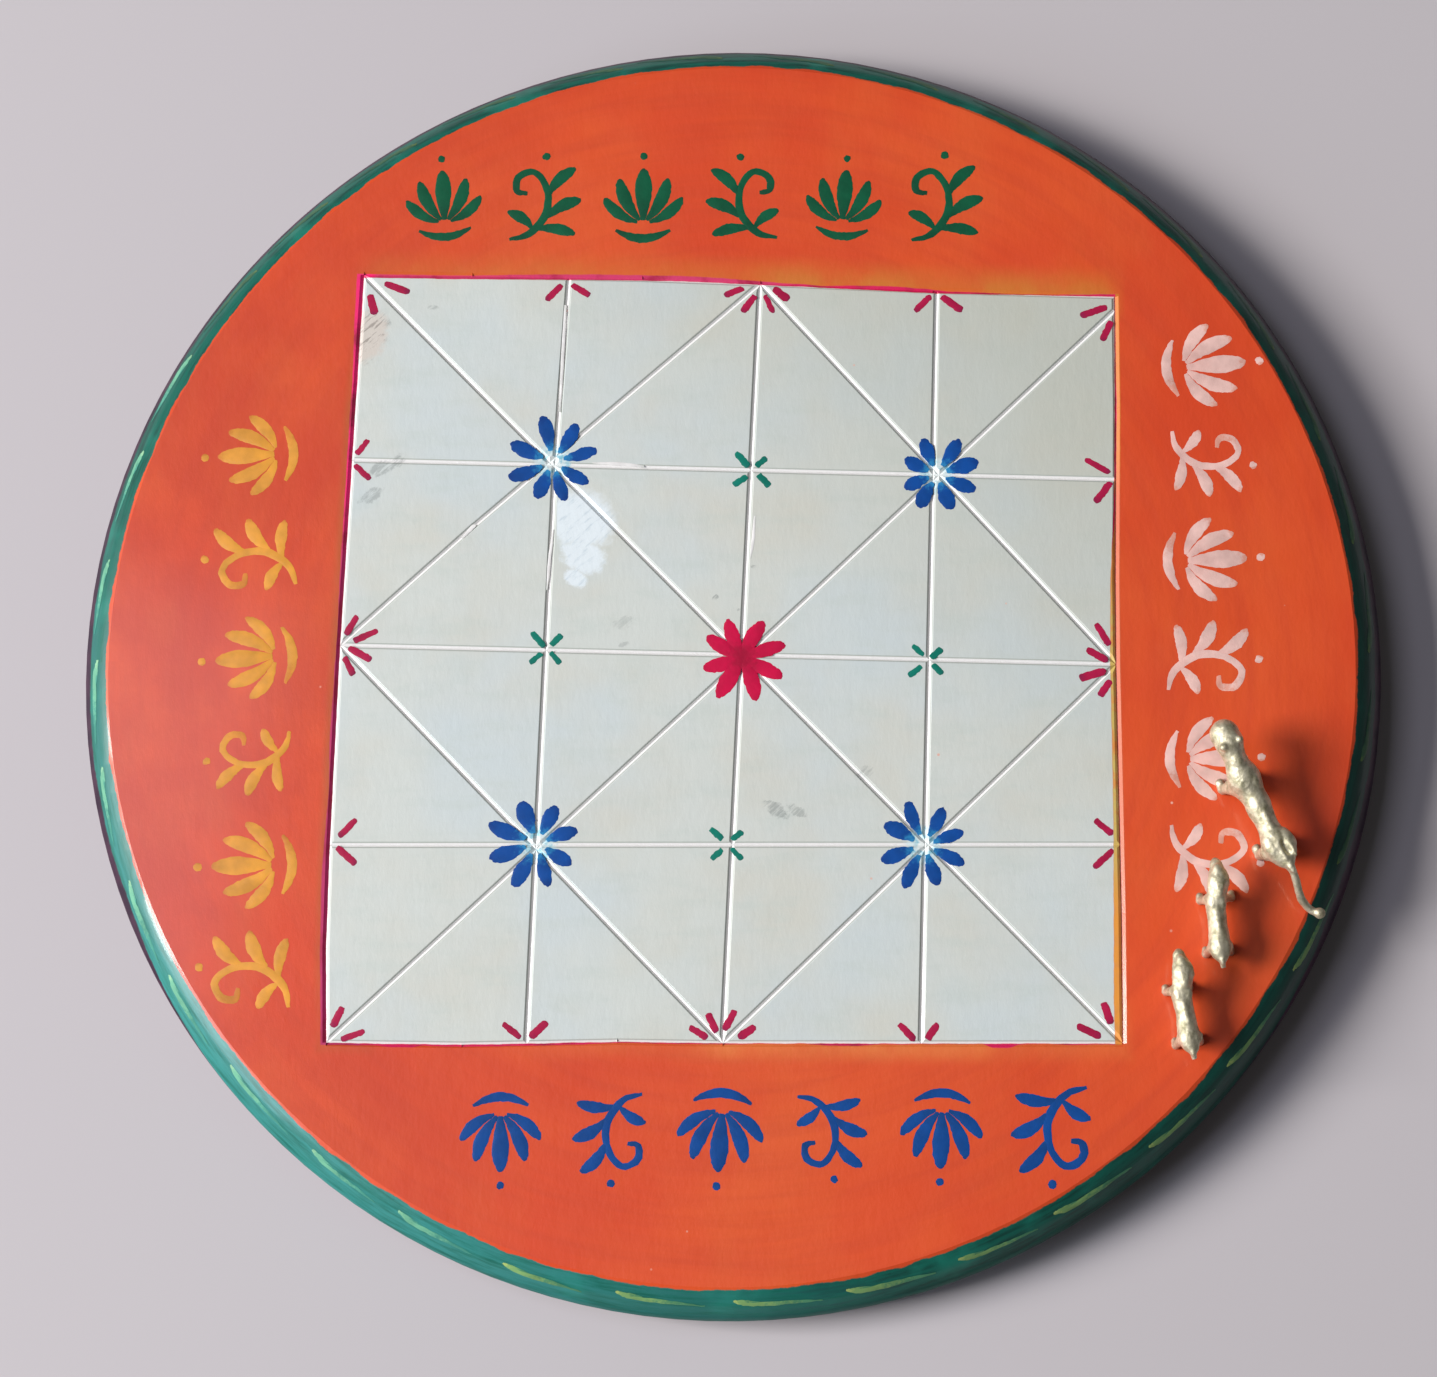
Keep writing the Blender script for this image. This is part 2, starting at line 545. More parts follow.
# %% [markdown]
# ### Flower hearts, specks and the bare underside
#
# Each blue flower has a watery heart, where the brush met wet white and cyan
# ran along the crossing grooves. A crimson blot joins the petals of the middle
# flower, and pale specks sit on the orange where a brush splashed. The
# underside was never painted, apart from a rough ring of maroon that came over
# the edge, so plain wood with its growth rings shows there.

# %% Flower hearts
flower_hearts = {"north_west": (-40.6, 46.5), "north_east": (48.3, 42.6),
                 "south_west": (-43.4, -43.2), "south_east": (44.3, -44.2)}
middle_heart = (3.3, -0.2)
for heart in flower_hearts.values():
    wet = blot(heart, 5.0, 0.5)
    watery = coat(linear("#6CC4DA"), "#DDF0F2", step_over(mottle(1.5, 4.0, 0.65), 0.46, 0.12))
    colour = coat(colour, watery, add(tree, "ShaderNodeMath", {0: wet, 1: 0.8}, operation="MULTIPLY"))
    colour = coat(colour, "#F2F8F6", blot(heart, 1.9, 0.9))

colour = coat(colour, "#C20F46", blot(middle_heart, 4.6, 0.4))
print("hearts:", len(flower_hearts) + 1)

# %% Specks and underside
specks = add(tree, "ShaderNodeTexVoronoi", {"Vector": flat_spot, "Scale": 0.09, "Randomness": 1.0})
splashed = add(tree, "ShaderNodeMath", {
    0: step_over(mottle(40.0), 0.56, 0.05), 1: orange_mask}, operation="MULTIPLY")
colour = coat(colour, "#F1B4A0", add(tree, "ShaderNodeMath", {
    0: add(tree, "ShaderNodeMapRange", {"Value": specks, "From Min": 0.036, "From Max": 0.02}),
    1: splashed}, operation="MULTIPLY"))

rings = add(tree, "ShaderNodeTexWave", {
    "Vector": add(tree, "ShaderNodeVectorMath", {0: spot, 1: (1, 0.06, 1)}, operation="MULTIPLY"),
    "Scale": 0.09, "Distortion": 7.0, "Detail": 3.0, "Detail Scale": 0.4},
    wave_type="BANDS", bands_direction="X")
bare_wood = coat(linear("#C39A6B"), "#9A6E43", step_over(rings, 0.62, 0.3))
bare_radius = rim_radius / MM - 9.5
under_mask = add(tree, "ShaderNodeMath", {
    0: step_over(inward(0.03, height), 0.0, 0.02),
    1: step_over(inward(bare_radius, orange_border), 0.0, 0.4)}, operation="MULTIPLY")
colour = coat(colour, bare_wood, under_mask)
print("nodes in all:", len(tree.nodes))

# %% [markdown]
# ### Gloss
#
# Household enamel dries with a soft gloss. It levels, but the brush hairs leave
# ridges along each stroke, and dust nibs roughen it. The ridges are drawn wider
# than the real ones, or they wouldn't show. The varnish went on from above, so
# it thins out towards the foot of the edge.

# %% Gloss and brush hairs
hairs = mottle(1.6, 4.0, 0.7, (0.6, 0.3, 1))
relief = add(tree, "ShaderNodeBump", {"Strength": 1.0, "Distance": 0.07 * MM, "Height": hairs})
sheen_patches = add(tree, "ShaderNodeMapRange", {"Value": mottle(12.0, 4.0), "To Min": 0.34, "To Max": 0.52})
varnish = add(tree, "ShaderNodeMapRange", {
    "Value": height, "From Min": 15.5, "From Max": 19.0, "To Min": 0.0, "To Max": 0.45})
shine = add(tree, "ShaderNodeMapRange", {
    "Value": height, "From Min": 14.0, "From Max": 18.5, "To Min": 0.04, "To Max": 0.5})
tree.links.new(add(tree, "ShaderNodeBsdfPrincipled", {
    "Base Color": colour, "Roughness": sheen_patches, "Specular IOR Level": shine, "Normal": relief,
    "Coat Weight": varnish, "Coat Roughness": 0.1, "Coat IOR": 1.5}), paint_surface)
board = frame["nodes"]["board"]
board.data.materials.clear()
board.data.materials.append(paint)
print("board painted")

# %% [markdown]
# ## Brush strokes with real thickness
#
# Petals, dashes and sprigs are single strokes of a loaded round brush. Paint
# from such a brush stands a little proud, crowned in the middle and thin at its
# rim. A curve makes this well: its points follow the hand, each point's radius
# is how hard the brush was pressed, and its round bevel, converted to a mesh
# and pressed almost flat, becomes the crown. A little noise then frays the
# outline, because bristles never end in a clean line. Its seed is set, so the
# fray is the same each time the script runs.

# %% Strokes as flattened curves
noise.seed_set(5)


def smooth_path(points, steps=5):
    """Rounds a few hand-placed (x, y, width) points into a flowing stroke."""
    padded = [points[0], *points, points[-1]]
    path = []
    for quad in zip(padded, padded[1:], padded[2:], padded[3:]):
        for step in range(steps):
            t = step / steps
            path.append([0.5 * (2 * q + (r - p) * t + (2 * p - 5 * q + 4 * r - s) * t ** 2
                                + (3 * q - p - 3 * r + s) * t ** 3) for p, q, r, s in zip(*quad)])
    return path + [list(points[-1])]


def on_the_top(x, y, lift):
    """A point of the flat top, in metres, from its place in millimetres."""
    return Vector((x * MM, y * MM, top + lift * MM))


def brush_strokes(name, strokes, material, lay=on_the_top, crown=0.025, fray=0.1):
    """One mesh of many strokes, each a list of (x, y, width) points in millimetres."""
    bpy.ops.object.select_all(action="DESELECT")
    bpy.ops.curve.primitive_nurbs_path_add()
    marks = bpy.context.object
    marks.data.splines.clear()
    for stroke in strokes:
        samples = smooth_path(stroke)
        spline = marks.data.splines.new("POLY")
        spline.points.add(len(samples) - 1)
        for point, (x, y, width) in zip(spline.points, samples):
            point.co = (x, y, 0, 1)
            point.radius = max(width, 0.1) / 2
    marks.data.bevel_depth = 1.0
    marks.data.bevel_resolution = 3
    marks.data.use_fill_caps = True
    bpy.ops.object.convert(target="MESH")
    marks = bpy.context.object
    marks.name = name
    for vertex in marks.data.vertices:
        x, y, z = vertex.co
        drift = noise.noise_vector(Vector((x, y, 0)) * 1.7) * fray
        vertex.co = lay(x + drift.x, y + drift.y, 0.02 + crown * z)
    bpy.ops.object.shade_smooth_by_angle(angle=math.radians(30))
    marks.data.materials.append(material)
    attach(marks, "board")
    print(name, len(strokes), "strokes", len(marks.data.polygons), "faces")
    return marks


def pressed(start, end, width, shape, bow=0.0):
    """A straight or slightly bowed stroke whose width follows a shape along it."""
    (x0, y0), (x1, y1) = start, end
    return [(x0 + (x1 - x0) * t - (y1 - y0) * bow * 4 * t * (1 - t),
             y0 + (y1 - y0) * t + (x1 - x0) * bow * 4 * t * (1 - t), width * share) for t, share in shape]


petal_shape = ((0, 0.25), (0.28, 0.72), (0.58, 1.0), (0.84, 0.76), (0.96, 0.4), (1.0, 0.12))
dab_shape = ((0, 0.35), (0.08, 0.86), (0.5, 1.0), (0.9, 0.96), (1.0, 0.4))
print("a petal has", len(smooth_path(pressed((0, 0), (10, 0), 3, petal_shape))), "rings")

# %% [markdown]
# ### Enamel for the strokes
#
# All strokes share one kind of paint: enamel from a pot, glossy, opaque where
# the brush was full and streaky where it ran dry. The converted curve keeps a
# UV map that runs from 0 at the start of each stroke to 1 at its end, so colour
# can change from the first touch to the lift of the brush.

# %% Stroke enamel
def stroke_enamel(name, first_touch, body, lift_off, fade_in=0.3, fade_out=0.7, dryness=0.5):
    """Enamel that changes from the first touch of the brush to the place where it lifts."""
    material, net, surface = new_material(name)
    place = add(net, "ShaderNodeSeparateXYZ", {0: add(net, "ShaderNodeUVMap", uv_map="UVMap")})
    metres = net.nodes.new("ShaderNodeTexCoord").outputs["Object"]
    streaks = add(net, "ShaderNodeTexNoise", {"Vector": metres, "Scale": 1 / (1.1 * MM), "Detail": 5.0,
                                              "Roughness": 0.7})
    patches = add(net, "ShaderNodeTexNoise", {"Vector": metres, "Scale": 1 / (4.5 * MM), "Detail": 2.0})
    along_it = add(net, "ShaderNodeMath", {
        0: add(net, "ShaderNodeMath", {0: streaks, 1: dryness, 2: -dryness / 2}, operation="MULTIPLY_ADD"),
        1: place}, operation="ADD")
    started = add(net, "ShaderNodeMapRange", {"Value": along_it, "From Min": fade_in - 0.12,
                                              "From Max": fade_in + 0.12}, interpolation_type="SMOOTHSTEP")
    ended = add(net, "ShaderNodeMapRange", {"Value": along_it, "From Min": fade_out - 0.15,
                                            "From Max": fade_out + 0.15}, interpolation_type="SMOOTHSTEP")
    colour = add(net, "ShaderNodeMix", {
        0: started, 6: linear(first_touch), 7: linear(body)}, data_type="RGBA")
    colour = add(net, "ShaderNodeMix", {0: ended, 6: colour, 7: linear(lift_off)}, data_type="RGBA")
    shade = add(net, "ShaderNodeMapRange", {"Value": patches, "From Min": 0.3, "From Max": 0.7,
                                            "To Min": 0.82, "To Max": 1.12})
    colour = add(net, "ShaderNodeVectorMath", {0: colour, "Scale": shade}, operation="SCALE")
    relief = add(net, "ShaderNodeBump", {"Strength": 1.0, "Distance": 0.05 * MM, "Height": streaks})
    net.links.new(add(net, "ShaderNodeBsdfPrincipled", {
        "Base Color": colour, "Roughness": 0.45, "Specular IOR Level": 0.25, "Normal": relief,
        "Coat Weight": 0.15, "Coat Roughness": 0.12}), surface)
    return material


blue_enamel = stroke_enamel("deep_blue_enamel", "#2F8CC4", "#0A4C9C", "#0C4290", 0.12, 0.62, 0.6)
red_enamel = stroke_enamel("crimson_enamel", "#B80C3C", "#D20A46", "#C41248", 0.2, 0.8, 0.5)
teal_enamel = stroke_enamel("teal_green_enamel", "#0C8672", "#0A7E6C", "#18746A", 0.2, 0.75, 0.4)
rose_enamel = stroke_enamel("rose_red_enamel", "#A81846", "#B41848", "#92204C", 0.2, 0.75, 0.5)
print("stroke enamels mixed")

# %% [markdown]
# ### Flowers, crosses and dabs
#
# The four inner crossings that a diagonal passes carry blue flowers, the middle
# a red one, and the other four a small green cross. Every point where a line
# meets the border has a fan of rose dabs. Each petal is one stroke, from near
# the heart to its tip, in the gap between two grooves. A petal is given by its
# tip and width, any other stroke by its start, end and width, in millimetres. A
# few slips of thick white lie beside the grooves, where the brush ran over.

# %% Blue and red flowers
flowers = {
    "flower_north_west": (blue_enamel, flower_hearts["north_west"], (
        (-43.2, 57.7, 3.3), (-35.1, 55.7, 3.1), (-30.3, 49.4, 2.9), (-32.3, 41.5, 2.9),
        (-37.5, 37.3, 2.9), (-44.3, 37.8, 3.4), (-51.0, 42.9, 3.3), (-50.5, 51.3, 3.4))),
    "flower_north_east": (blue_enamel, flower_hearts["north_east"], (
        (45.3, 51.2, 3.0), (53.7, 50.9, 3.2), (58.0, 45.5, 3.5), (57.3, 38.8, 3.1),
        (52.0, 34.2, 3.4), (44.3, 34.5, 3.2), (40.9, 39.3, 3.1), (41.1, 46.5, 3.1))),
    "flower_south_west": (blue_enamel, flower_hearts["south_west"], (
        (-47.0, -33.5, 3.8), (-38.9, -34.7, 3.3), (-34.2, -40.3, 3.1), (-35.5, -48.0, 3.1),
        (-40.7, -53.1, 2.9), (-48.7, -53.1, 3.4), (-54.2, -46.5, 3.5), (-54.4, -38.5, 3.4))),
    "flower_south_east": (blue_enamel, flower_hearts["south_east"], (
        (40.8, -34.1, 2.9), (48.8, -35.6, 3.0), (53.3, -41.3, 2.8), (53.3, -48.7, 2.9),
        (47.3, -53.5, 3.1), (39.9, -54.1, 3.1), (34.6, -47.7, 3.2), (35.3, -39.5, 3.5))),
    "flower_middle": (red_enamel, middle_heart, (
        (0.0, 8.7, 3.1), (8.3, 8.0, 3.4), (13.2, 2.6, 3.1), (12.6, -5.0, 3.2),
        (6.4, -10.6, 3.4), (-2.5, -9.7, 3.6), (-5.8, -2.8, 3.2), (-4.8, 4.7, 3.2))),
}
rng = random.Random(4)
for name, (enamel, heart, tips) in flowers.items():
    gap = 0.0 if name == "flower_middle" else 0.24
    strokes = []
    for x, y, width in tips:
        root = (heart[0] + gap * (x - heart[0]), heart[1] + gap * (y - heart[1]))
        strokes.append(pressed(root, (x, y), 1.08 * width, petal_shape, rng.uniform(-0.05, 0.05)))
    brush_strokes(name, strokes, enamel, fray=0.24)

# %% Green crosses
cross_marks = (
    (1.9, 48.3, 4.9, 44.9, 1.4), (6.6, 44.9, 9.0, 47.0, 1.3), (4.5, 42.6, 1.4, 40.5, 1.3),
    (7.1, 43.0, 9.7, 40.1, 1.4), (-45.1, 6.0, -42.2, 2.5, 1.3), (-40.7, 2.8, -38.2, 5.4, 1.3),
    (-42.8, 1.0, -45.5, -1.3, 1.1), (-40.8, 1.3, -38.5, -1.5, 1.1), (42.3, 2.2, 44.8, -0.3, 1.1),
    (46.4, -0.9, 49.0, 1.25, 1.4), (44.3, -2.8, 41.4, -5.1, 1.2), (46.8, -2.4, 49.1, -4.7, 1.2),
    (-4.0, -40.1, -1.25, -42.6, 1.2), (0.8, -42.7, 3.25, -40.8, 1.2), (-1.3, -44.9, -3.75, -47.2, 1.2),
    (0.7, -44.6, 3.2, -47.2, 1.0))
print(len(cross_marks), "strokes in the crosses")


def dabs(rows, fuller):
    """A dab for each row of start, end and width, a little fuller than measured."""
    return [pressed((x0, y0), (x1, y1), fuller * width, dab_shape) for x0, y0, x1, y1, width in rows]


brush_strokes("green_crosses", dabs(cross_marks, 1.15), teal_enamel, fray=0.2)

# %% Rose dabs along the border
border_dabs = (
    (-80.6, 90.5, -74.8, 88.2, 1.4), (-84.2, 87.8, -82.8, 82.9, 1.6), (-38.9, 89.7, -42.5, 85.8, 1.3),
    (-36.5, 89.6, -32.3, 86.8, 1.3), (3.8, 88.2, -0.7, 86.5, 1.3), (6.5, 86.4, 3.5, 82.3, 1.4),
    (8.8, 86.4, 10.7, 82.1, 1.1), (10.8, 88.1, 14.3, 85.2, 1.6), (47.5, 85.8, 43.8, 82.0, 1.3),
    (50.0, 85.6, 54.8, 82.0, 1.5), (88.5, 82.5, 82.3, 80.4, 1.4), (89.4, 79.0, 87.2, 74.3, 1.3),
    (-83.8, 52.3, -86.5, 48.8, 1.2), (-86.9, 46.4, -83.2, 42.8, 1.2), (-85.5, 10.2, -88.2, 5.8, 1.3),
    (-80.8, 6.7, -86.3, 4.3, 1.3), (-87.3, 2.7, -82.0, -0.2, 1.4), (-88.4, 0.6, -86.1, -3.75, 1.3),
    (-84.8, -37.3, -88.7, -41.4, 1.3), (-89.1, -43.75, -84.7, -47.7, 1.4),
    (-87.0, -80.2, -89.25, -84.8, 1.4), (-81.9, -85.8, -87.2, -87.6, 1.2),
    (-50.8, -84.2, -46.8, -87.4, 1.2), (-40.8, -83.9, -44.6, -87.4, 1.5), (-8.75, -85.2, -4.75, -87.7, 1.3),
    (-4.6, -82.1, -2.7, -86.5, 1.4), (1.5, -81.5, -0.9, -86.0, 1.3), (6.0, -85.2, 2.25, -87.7, 1.5),
    (38.2, -84.75, 41.7, -88.4, 1.3), (46.9, -84.75, 44.4, -88.3, 1.4), (77.9, -85.3, 83.2, -87.9, 1.4),
    (84.0, -80.2, 85.6, -85.0, 1.5), (83.0, -38.75, 86.9, -42.1, 1.3), (86.9, -45.6, 82.5, -49.75, 1.3),
    (84.25, 6.8, 87.2, 1.7, 1.3), (82.0, 0.8, 86.7, -1.9, 1.4), (86.25, -4.3, 80.25, -6.0, 1.6),
    (87.3, -6.5, 84.7, -10.2, 1.4), (82.6, 45.8, 88.2, 42.5, 1.2), (88.4, 40.25, 84.7, 35.4, 1.4))
brush_strokes("border_dabs", dabs(border_dabs, 1.2), rose_enamel, fray=0.2)

# %% Slips beside the grooves
groove_slips = (
    [(-38.0, 84.6, 0.5), (-38.6, 70.8, 0.7), (-39.1, 58.5, 0.4)],
    [(-31.4, 46.2, 0.3), (-25.0, 45.9, 0.8), (-19.4, 45.2, 0.4)],
    [(6.3, 33.0, 0.4), (5.8, 27.0, 0.7), (5.2, 23.0, 0.3)],
    [(-61.5, 28.4, 0.5), (-59.3, 30.9, 0.9), (-58.4, 31.6, 0.4)],
    [(-40.3, 30.3, 0.3), (-41.2, 23.0, 0.7), (-41.7, 16.0, 0.3)])
brush_strokes("groove_slips", groove_slips, stroke_enamel(
    "thick_white_enamel", "#E9E8E4", "#F4F2F0", "#DFE2DC", 0.1, 0.9, 0.3), crown=0.1, fray=0.1)

# %% [markdown]
# ### Sprigs on the orange
#
# The wide orange border carries painted ornament in a different colour on each
# side. Here it is a plain folk pattern: an open lotus of five petals over a
# curved base, and a curling sprig with leaves, by turns. Both are drawn once,
# as strokes about their own middle, and then placed, turned to face the rim and
# varied a little, as a hand varies what it repeats.

# %% Lotus and sprig
lotus = [
    pressed((0, -4.5), (0, 9.5), 4.4, petal_shape),
    pressed((-0.9, -4.5), (-6.2, 6.8), 3.5, petal_shape, 0.08),
    pressed((0.9, -4.5), (6.2, 6.8), 3.5, petal_shape, -0.08),
    pressed((-1.6, -5), (-10.0, 1.6), 3.1, petal_shape, 0.1),
    pressed((1.6, -5), (10.0, 1.6), 3.1, petal_shape, -0.1),
    [(-7.0, -7.2, 0.7), (-3.5, -8.8, 2.0), (0, -9.4, 2.4), (3.5, -8.8, 2.0), (7.0, -7.2, 0.7)],
    [(-0.9, 12.6, 0.9), (-0.3, 12.7, 1.9), (0.4, 12.9, 1.8), (0.9, 13.0, 0.8)]]
sprig = [
    [(-8.0, -9.5, 0.8), (-3.2, -8.0, 1.8), (0.8, -2.5, 2.0), (0.6, 4.0, 1.7),
     (-2.8, 8.2, 1.7), (-6.6, 6.6, 1.9), (-6.8, 3.2, 1.7), (-4.2, 2.6, 1.0)],
    pressed((1.2, -3.5), (9.4, 1.2), 3.3, petal_shape, 0.1),
    pressed((1.0, 2.0), (7.6, 9.4), 3.1, petal_shape, 0.1),
    pressed((-1.4, -6.6), (8.2, -7.8), 2.9, petal_shape, 0.08),
    pressed((-2.4, -6.6), (-8.8, -2.4), 2.8, petal_shape, -0.1),
    [(-0.8, 12.0, 0.8), (-0.2, 12.2, 1.8), (0.5, 12.5, 1.8), (1.0, 12.7, 0.8)]]


ornaments_per_side = 6
print("lotus of", len(lotus), "strokes, sprig of", len(sprig))


# %% Ornament on each side
def ornament_row(name, start, end, facing, material, seed):
    """Ornaments between two points, lotus and sprig by turns, facing outward."""
    chance = random.Random(seed)
    strokes = []
    for index in range(ornaments_per_side):
        share = index / (ornaments_per_side - 1)
        middle = Vector(start).lerp(Vector(end), share)
        size = chance.uniform(0.86, 0.98)
        turned = math.radians(facing - 90 + chance.uniform(-5, 5))
        flip = -1 if index % 4 > 1 else 1
        for stroke in (lotus if index % 2 == 0 else sprig):
            placed = []
            for x, y, width in stroke:
                u, v = flip * x * size, y * size
                placed.append((middle.x + u * math.cos(turned) - v * math.sin(turned),
                               middle.y + u * math.sin(turned) + v * math.cos(turned), width * size))
            strokes.append(placed)
    return brush_strokes(name, strokes, material, fray=0.18)


ornament_row("ornament_north", (-67, 110), (51, 108.5), 90, stroke_enamel(
    "dark_green_enamel", "#0E5238", "#0C5A3C", "#174B34", 0.2, 0.8), 1)
ornament_row("ornament_east", (111, 68), (108.5, -48), 0, stroke_enamel(
    "thin_pink_white_enamel", "#EFC0B6", "#F0C6BC", "#E5A18E", 0.25, 0.74, 0.8), 2)
ornament_row("ornament_south", (-51, -109), (72, -108.5), -90, stroke_enamel(
    "prussian_blue_enamel", "#0E4688", "#0B4A94", "#10407C", 0.2, 0.8), 3)
ornament_row("ornament_west", (-110, 49), (-108, -72), 180, stroke_enamel(
    "golden_yellow_enamel", "#EBA23C", "#E8A042", "#D98738", 0.25, 0.75), 5)

# %% [markdown]
# ### Dashes round the edge
#
# A ring of green dashes runs round the bulging edge: yellow-green on the near
# side, minty on the left, and so thin on the far side that little shows. Each
# begins with a small hook where the brush touched down, swells, and trails off
# dry. They are drawn as if the edge were unrolled flat, then wrapped onto its
# real round section: the distance along becomes a bearing, and the distance
# across becomes an angle on the arc.

# %% Edge dashes
edge_reach = 7.0
dash_inset = 3.3
half_thickness = top / MM / 2
arc_radius = (edge_reach ** 2 + half_thickness ** 2) / (2 * edge_reach)
arc_middle = rim_radius / MM - arc_radius
dash_line = rim_radius / MM - dash_inset
dash_angle = math.acos((dash_line - arc_middle) / arc_radius)


def round_the_rim(x, y, lift):
    """Wraps a point drawn along the dash line onto the bulging edge."""
    bearing = x / dash_line
    slope = dash_angle - y / arc_radius
    reach = arc_middle + (arc_radius + lift) * math.cos(slope)
    return Vector((reach * math.cos(bearing), reach * math.sin(bearing),
                   half_thickness + (arc_radius + lift) * math.sin(slope))) * MM


chance = random.Random(11)
dash_count = 36
pitch = 2 * math.pi * dash_line / dash_count
left_dashes, near_dashes = range(15, 25), range(25, 34)
edge_marks = {"rim_dashes_near": [], "rim_dashes_left": [], "rim_dashes_far": []}
for index in range(dash_count):
    side = edge_marks["rim_dashes_left" if index in left_dashes else
                      "rim_dashes_near" if index in near_dashes else "rim_dashes_far"]
    begin = index * pitch + chance.uniform(-1.2, 1.2)
    length = chance.uniform(17.0, 20.5)
    out = chance.uniform(-0.35, 0.35)
    wide = chance.uniform(1.05, 1.6)
    side.append([(begin, out - 0.9, 0.5), (begin + 1.2, out - 0.5, 0.9), (begin + 3.4, out + 0.1, 0.8 * wide),
                 (begin + 0.45 * length, out + 0.15, wide), (begin + 0.75 * length, out + 0.3, 0.7 * wide),
                 (begin + length, out + 0.7, 0.25)])
    side.append([(begin + 0.3, out - 1.0, 0.35), (begin + 2.6, out - 0.75, 0.7),
                 (begin + 6.0, out - 0.5, 0.3)])
dash_enamels = {
    "rim_dashes_near": ("yellow_green_enamel", "#A9BD6E", "#7FA868", "#4F8A66"),
    "rim_dashes_left": ("mint_green_enamel", "#93C49A", "#6CAE8E", "#45907F"),
    "rim_dashes_far": ("thin_yellow_green_enamel", "#5F7A48", "#41694B", "#2B5A48")}
for name, enamel in dash_enamels.items():
    brush_strokes(name, edge_marks[name], stroke_enamel(*enamel, 0.16, 0.66, 0.9), lay=round_the_rim,
                  crown=0.04, fray=0.22)

# %% [markdown]
# ## The brass animals
#
# The tiger and the two goats are solid castings from a rough mould. Metal that
# flows into a mould rounds every corner, so the plain CAD bodies are melted
# together here as one skin. A copy of each CAD mesh gets lumps for shoulders,
# haunches, brow and spine. The Remesh modifier turns the heap into one closed
# skin of small voxels, Smooth melts the joins, and two Displace modifiers give it
# the dented, pitted surface of a cheap casting.

# %% Where the animals stand
standing = {
    "tiger": ((119.53, -39.53), 117.0),
    "goat_far": ((109.12, -61.99), 95.0),
    "goat_near": ((101.27, -82.30), 99.5),
}


def on_animal(animal, forward, left, up):
    """A point in metres from its place in millimetres in the animal's own frame."""
    (x, y), heading = standing[animal]
    facing = math.radians(heading)
    return Vector((x + forward * math.cos(facing) - left * math.sin(facing),
                   y + forward * math.sin(facing) + left * math.cos(facing), top / MM + up)) * MM


# Each lump: forward, left, up, then its reach along, across and upright
tiger_lumps = [
    (21.2, -1.0, 11.7, 1.9, 1.9, 1.5), (18.5, 1.3, 12.4, 1.8, 1.1, 1.6), (18.5, -2.9, 12.4, 1.8, 1.1, 1.6),
    (18.0, -0.8, 15.4, 2.2, 2.2, 1.0), (13.6, -0.4, 13.0, 3.6, 2.0, 2.4), (9.0, 1.2, 11.6, 3.4, 1.6, 2.0),
    (8.6, -1.8, 11.6, 3.4, 1.6, 2.0), (1.0, -0.2, 11.0, 9.0, 1.3, 1.5), (-7.4, 1.8, 10.4, 3.4, 1.8, 2.2),
    (-7.6, -2.0, 10.4, 3.4, 1.7, 2.2), (-9.2, 0.4, 11.9, 2.8, 0.5, 0.8), (-9.2, -2.0, 11.9, 2.8, 0.5, 0.8),
    (-12.6, 0.1, 11.0, 2.6, 0.9, 1.0), (9.4, 2.4, 5.0, 1.6, 1.1, 3.4), (-7.6, 2.6, 4.6, 1.8, 1.2, 3.4)]
goat_lumps = [
    (11.9, -1.0, 7.9, 1.3, 1.2, 1.1), (9.0, -1.1, 9.8, 2.6, 1.4, 1.1), (6.4, -0.9, 10.2, 2.6, 1.3, 1.1),
    (3.4, 0.9, 8.4, 2.4, 1.2, 1.5), (3.4, -1.2, 8.4, 2.4, 1.2, 1.5), (-1.5, 0.0, 8.6, 6.0, 1.1, 1.0),
    (-6.7, 1.5, 7.6, 2.5, 1.1, 1.8), (-6.7, -1.2, 7.6, 2.5, 1.1, 1.8), (-9.4, 0.0, 8.2, 1.8, 0.8, 0.9)]

# %% Melting a casting into one skin
pitted = bpy.data.textures.new("pitted_mould", "CLOUDS")
pitted.noise_scale = 0.9 * MM
pitted.noise_depth = 3
dented = bpy.data.textures.new("dented_wax", "CLOUDS")
dented.noise_scale = 3.4 * MM
dented.noise_depth = 1


def shape_with(skin, kind, **settings):
    """Puts a modifier on the skin with its settings and applies it."""
    modifier = skin.modifiers.new(kind.lower(), kind)
    for name, value in settings.items():
        setattr(modifier, name, value)
    bpy.ops.object.modifier_apply(modifier=modifier.name)


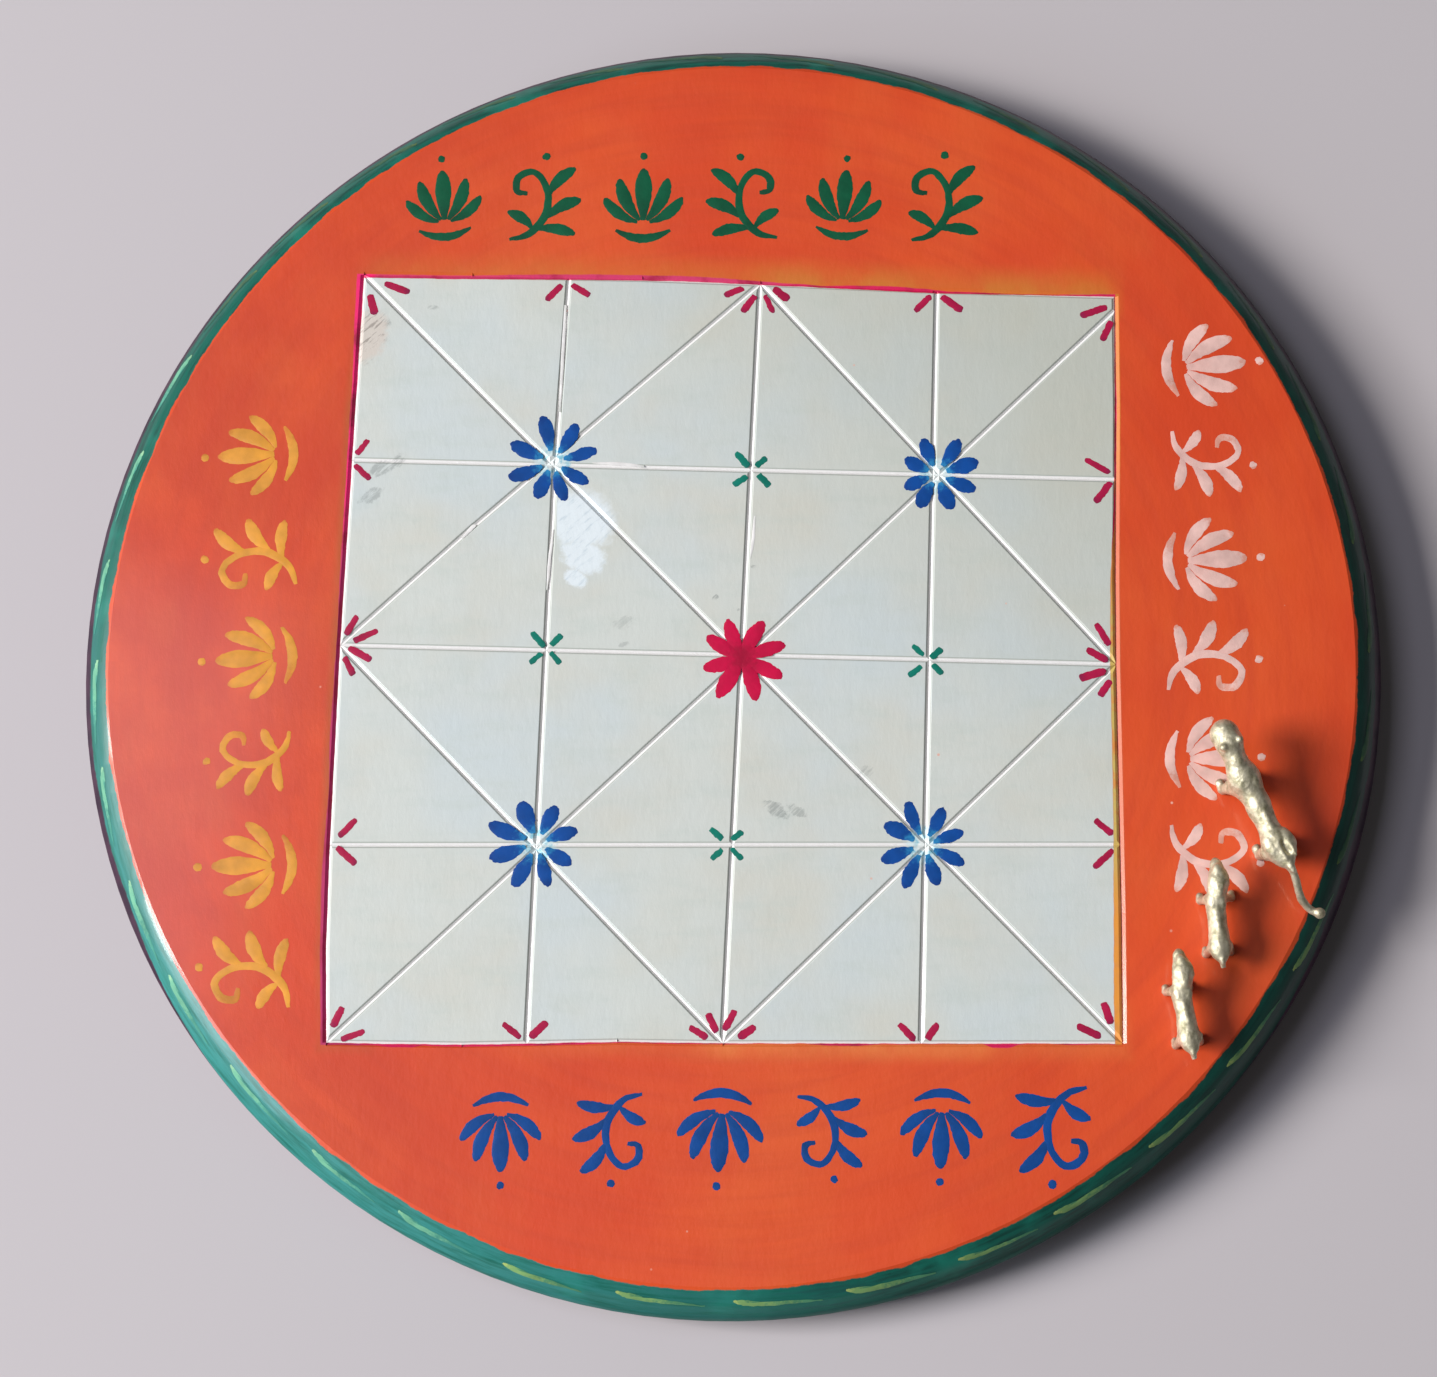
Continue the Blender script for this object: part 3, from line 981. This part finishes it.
def cast_animal(animal, lumps, material):
    """One casting: the CAD body and its lumps, melted, pitted and stood flat."""
    skin = bpy.data.objects.new(animal + "_casting", frame["nodes"][animal].data.copy())
    bpy.context.collection.objects.link(skin)
    heading = math.radians(standing[animal][1])
    bpy.ops.object.select_all(action="DESELECT")
    for forward, left, up, along_it, across_it, upright in lumps:
        bpy.ops.mesh.primitive_uv_sphere_add(segments=20, ring_count=12, radius=1.0,
                                             location=on_animal(animal, forward, left, up),
                                             rotation=(0, 0, heading))
        lump = bpy.context.object
        lump.scale = Vector((along_it, across_it, upright)) * MM
        lump.select_set(False)
        lump["joins"] = animal
    for lump in [thing for thing in bpy.context.scene.objects if thing.get("joins") == animal]:
        lump.select_set(True)
    skin.select_set(True)
    bpy.context.view_layer.objects.active = skin
    bpy.ops.object.join()
    bpy.ops.object.mode_set(mode="EDIT")
    bpy.ops.mesh.select_all(action="SELECT")
    bpy.ops.mesh.remove_doubles(threshold=0.001 * MM)
    bpy.ops.object.mode_set(mode="OBJECT")
    shape_with(skin, "REMESH", mode="VOXEL", voxel_size=0.22 * MM)
    shape_with(skin, "SMOOTH", factor=0.5, iterations=24)
    shape_with(skin, "DISPLACE", texture=dented, strength=0.22 * MM, mid_level=0.5)
    shape_with(skin, "DISPLACE", texture=pitted, strength=0.2 * MM, mid_level=0.5)
    for vertex in skin.data.vertices:
        if vertex.co.z < top + 0.2 * MM:
            vertex.co.z = top
    skin.data.materials.clear()
    skin.data.materials.append(material)
    bpy.ops.object.shade_smooth()
    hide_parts(animal)
    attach(skin, animal)
    print(animal, "cast with", len(skin.data.polygons), "faces")


# %% [markdown]
# ### Pale, tarnished brass
#
# Brass is copper and zinc. With much zinc, and cast rather than polished, it is
# pale, nearly silver where it is rubbed and grey-green where it tarnished. Most
# of a metal's colour is in its reflections, and a film of tarnish scatters the
# rest, so Metallic stays a little under 1. The rubbed parts are smoother and
# lighter, and dirt stays low on the legs.

# %% Cast brass
brass, net, brass_surface = new_material("rough_cast_pale_brass")
metal_spot = add(net, "ShaderNodeVectorMath", {
    0: net.nodes.new("ShaderNodeTexCoord").outputs["Object"], "Scale": 1 / MM}, operation="SCALE")
metal_height = add(net, "ShaderNodeSeparateXYZ", {0: metal_spot}).node.outputs["Z"]
tarnish = add(net, "ShaderNodeTexNoise", {
    "Vector": metal_spot, "Scale": 0.45, "Detail": 5.0, "Roughness": 0.65})
pits = add(net, "ShaderNodeTexNoise", {"Vector": metal_spot, "Scale": 2.2, "Detail": 4.0, "Roughness": 0.7})
dull = add(net, "ShaderNodeMapRange", {"Value": tarnish, "From Min": 0.42, "From Max": 0.66})
dirt = add(net, "ShaderNodeMapRange", {
    "Value": metal_height, "From Min": board_top + 7.0, "From Max": board_top})
brass_colour = add(net, "ShaderNodeMix", {
    0: dull, 6: linear("#EAE2C6"), 7: linear("#B0AA8A")}, data_type="RGBA")
brass_colour = add(net, "ShaderNodeMix", {
    0: add(net, "ShaderNodeMath", {0: dirt, 1: 0.5}, operation="MULTIPLY"), 6: brass_colour,
    7: linear("#C9B9A6")}, data_type="RGBA")
brass_gloss = add(net, "ShaderNodeMapRange", {"Value": tarnish, "From Min": 0.35, "From Max": 0.7,
                                              "To Min": 0.5, "To Max": 0.66})
brass_relief = add(net, "ShaderNodeBump", {"Strength": 1.0, "Distance": 0.08 * MM, "Height": pits})
net.links.new(add(net, "ShaderNodeBsdfPrincipled", {
    "Base Color": brass_colour, "Metallic": 0.8, "Roughness": brass_gloss,
    "Normal": brass_relief}), brass_surface)

print("brass net of", len(net.nodes), "nodes")

# %% Three castings
for animal, lumps in (("tiger", tiger_lumps), ("goat_far", goat_lumps), ("goat_near", goat_lumps)):
    frame["nodes"][animal].data.materials.clear()
    frame["nodes"][animal].data.materials.append(brass)
    cast_animal(animal, lumps, brass)
